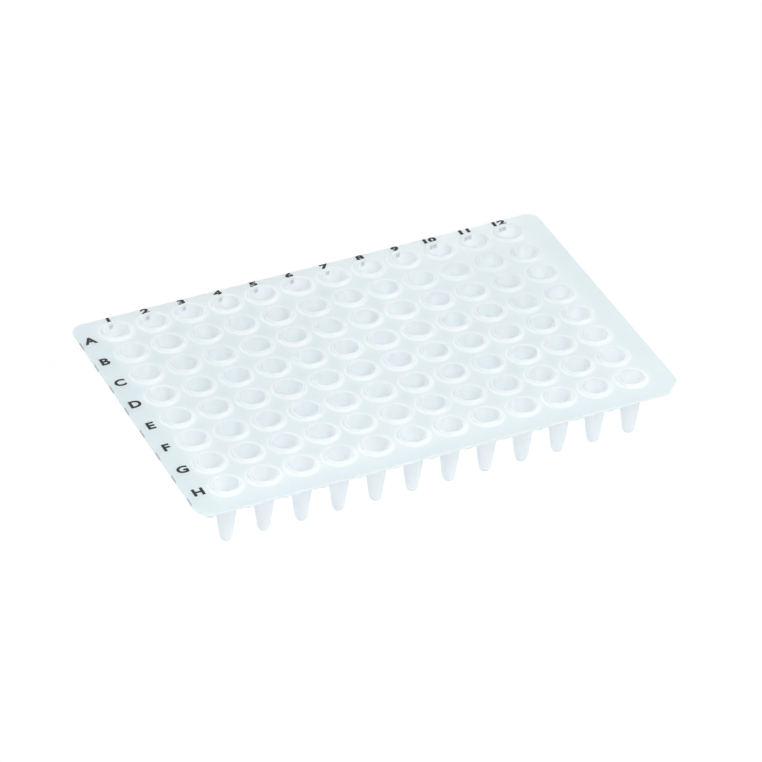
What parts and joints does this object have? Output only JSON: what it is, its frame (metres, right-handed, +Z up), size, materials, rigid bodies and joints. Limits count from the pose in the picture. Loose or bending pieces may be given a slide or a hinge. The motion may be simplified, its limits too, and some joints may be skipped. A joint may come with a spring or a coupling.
{
  "type": "well plate",
  "caption": "Skirtless plate for thermal cycling: a thin flat deck with a regular grid of raised-rim wells that open into conical tubes hanging below it, and one bevelled corner",
  "frame": {"origin": "bottom centre of the bounding box, on the surface the tube tips stand on", "axes": "+X runs along the deck from column 1 to column 12, +Y across it from row H to row A, +Z up through the wells"},
  "size_m": [0.118, 0.0772, 0.0155],
  "materials": {
    "polypropylene": "natural translucent polypropylene, smooth moulded, faintly blue-white",
    "ink": "black printed ink of the row letters and column numbers"
  },
  "bodies": {
    "root": {"well_plate": "polypropylene"}
  },
  "joints": []
}
